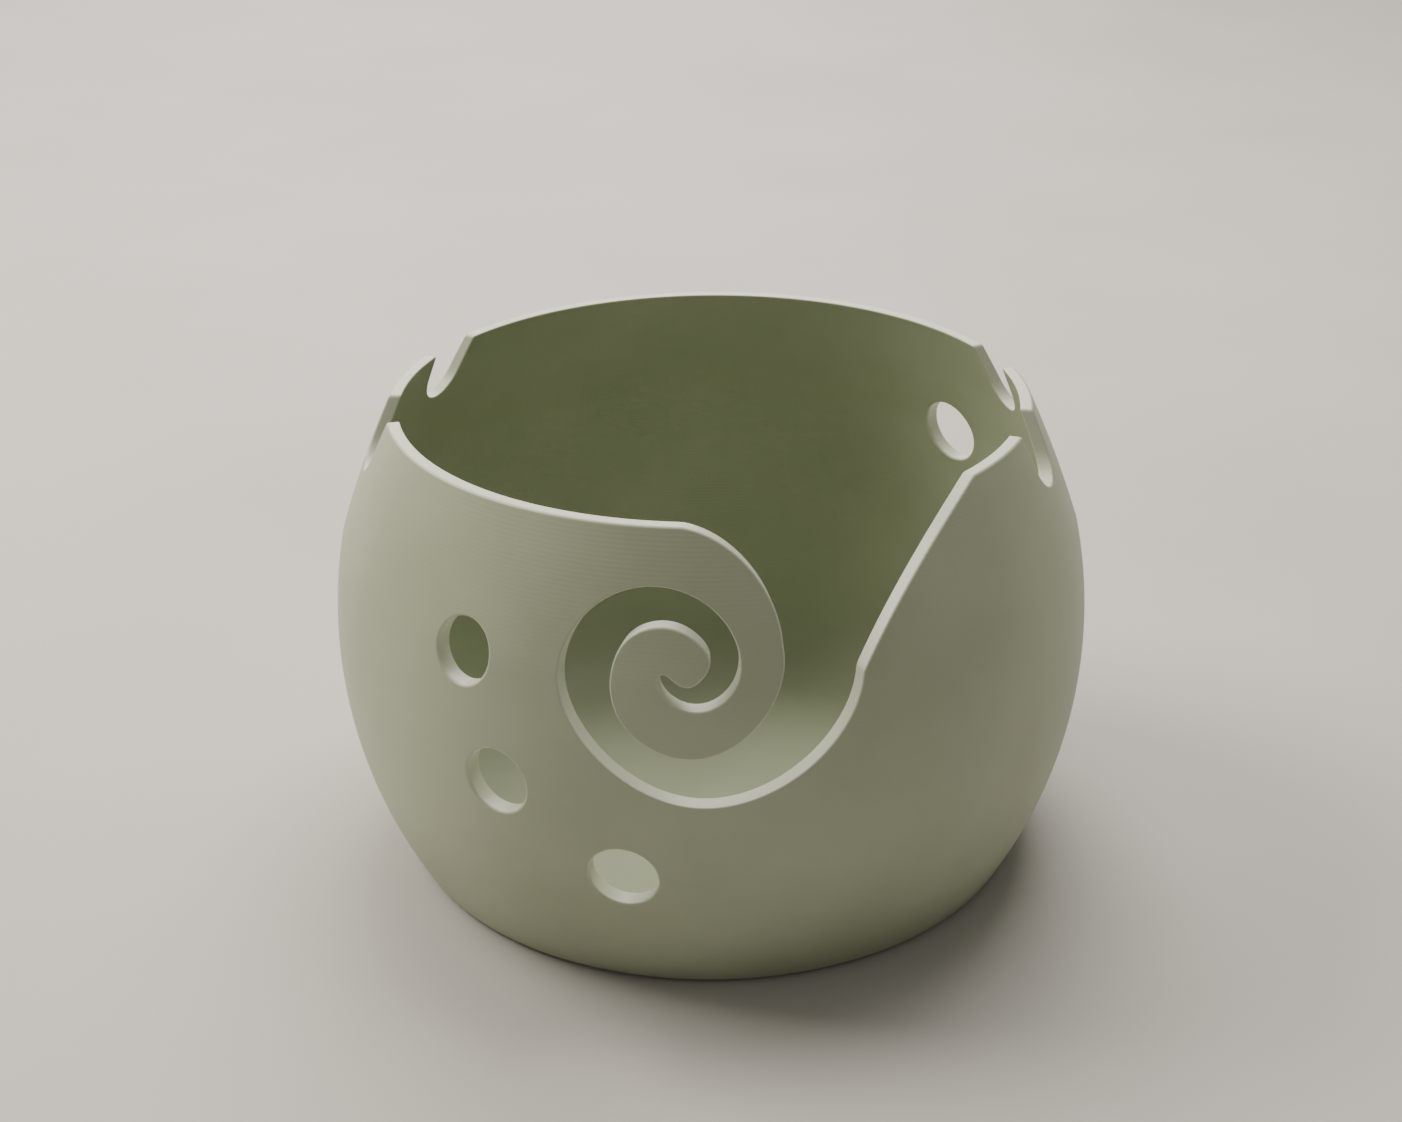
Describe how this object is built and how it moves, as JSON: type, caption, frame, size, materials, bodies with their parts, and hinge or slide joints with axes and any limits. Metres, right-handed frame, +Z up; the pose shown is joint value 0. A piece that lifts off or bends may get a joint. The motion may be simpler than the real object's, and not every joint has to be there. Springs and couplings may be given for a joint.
{
  "type": "yarn bowl",
  "caption": "Round open yarn bowl with a spiral yarn guide cut into its front wall, hook notches in the rim, round needle holes and anti-slip foot pads.",
  "frame": {"origin": "on the bowl's axis, on the surface that the foot pads stand on", "axes": "+Z up along the bowl's axis, -Y towards the front, where the spiral guide is, +X to the right as seen from the front"},
  "size_m": [0.1558, 0.1558, 0.0976],
  "materials": {
    "shell_plastic": "satin sage green",
    "pad_silicone": "translucent grey silicone"
  },
  "bodies": {
    "root": {"bowl_shell": "shell_plastic", "foot_pad_front_left": "pad_silicone", "foot_pad_front_right": "pad_silicone", "foot_pad_back_left": "pad_silicone", "foot_pad_back_right": "pad_silicone"}
  },
  "joints": []
}
